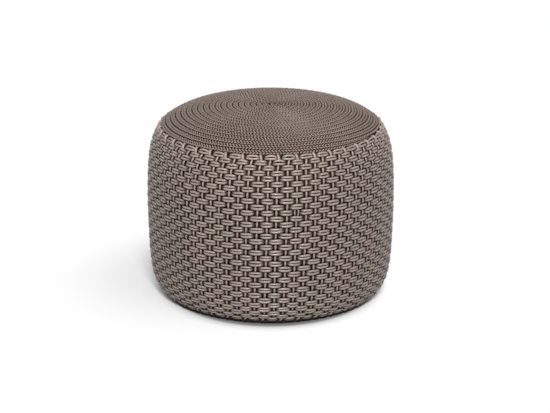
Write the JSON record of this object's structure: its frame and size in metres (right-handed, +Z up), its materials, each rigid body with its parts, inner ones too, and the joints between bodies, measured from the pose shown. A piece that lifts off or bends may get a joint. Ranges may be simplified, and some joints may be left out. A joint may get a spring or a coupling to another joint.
{
  "type": "outdoor ottoman footstool",
  "caption": "Round outdoor ottoman footstool with a barrel-shaped woven wicker side, a crowned coiled-cord seat and a dark recessed base ring.",
  "frame": {"origin": "on the floor, at the middle of the round base under the seat", "axes": "+Z up, out of the floor; +X and +Y level, with the picture taken from the -Y side"},
  "size_m": [0.56, 0.5596, 0.4305],
  "materials": {
    "resin_wicker": "extruded polyethylene wicker cord, satin, taupe brown",
    "braided_cord": "flat braided polyester cord, matt, taupe brown",
    "quick_dry_foam": "open-cell reticulated foam, matt",
    "polyethylene_board": "sheet polyethylene, fine matt",
    "frame_powder_coat": "powder-coated aluminium, brown, satin",
    "dark_powder_coat": "powder-coated aluminium, dark brown, satin",
    "nylon_glide": "moulded nylon, black, satin",
    "stainless_screw": "stainless steel, plain"
  },
  "bodies": {
    "root": {"woven_side": "resin_wicker", "coiled_top": "braided_cord", "crown_pad": "quick_dry_foam", "seat_deck": "polyethylene_board", "rim_hoop": "frame_powder_coat", "belly_hoop": "frame_powder_coat", "base_ring": "dark_powder_coat", "hub": "frame_powder_coat", "rib_1": "frame_powder_coat", "rib_2": "frame_powder_coat", "rib_3": "frame_powder_coat", "rib_4": "frame_powder_coat", "rib_5": "frame_powder_coat", "rib_6": "frame_powder_coat", "rib_7": "frame_powder_coat", "rib_8": "frame_powder_coat", "spoke_1": "frame_powder_coat", "deck_screw_1": "stainless_screw", "spoke_2": "frame_powder_coat", "deck_screw_2": "stainless_screw", "spoke_3": "frame_powder_coat", "deck_screw_3": "stainless_screw", "spoke_4": "frame_powder_coat", "deck_screw_4": "stainless_screw", "hub_screw": "stainless_screw", "glide_1": "nylon_glide", "glide_2": "nylon_glide", "glide_3": "nylon_glide", "glide_4": "nylon_glide", "glide_5": "nylon_glide", "glide_6": "nylon_glide"}
  },
  "joints": []
}
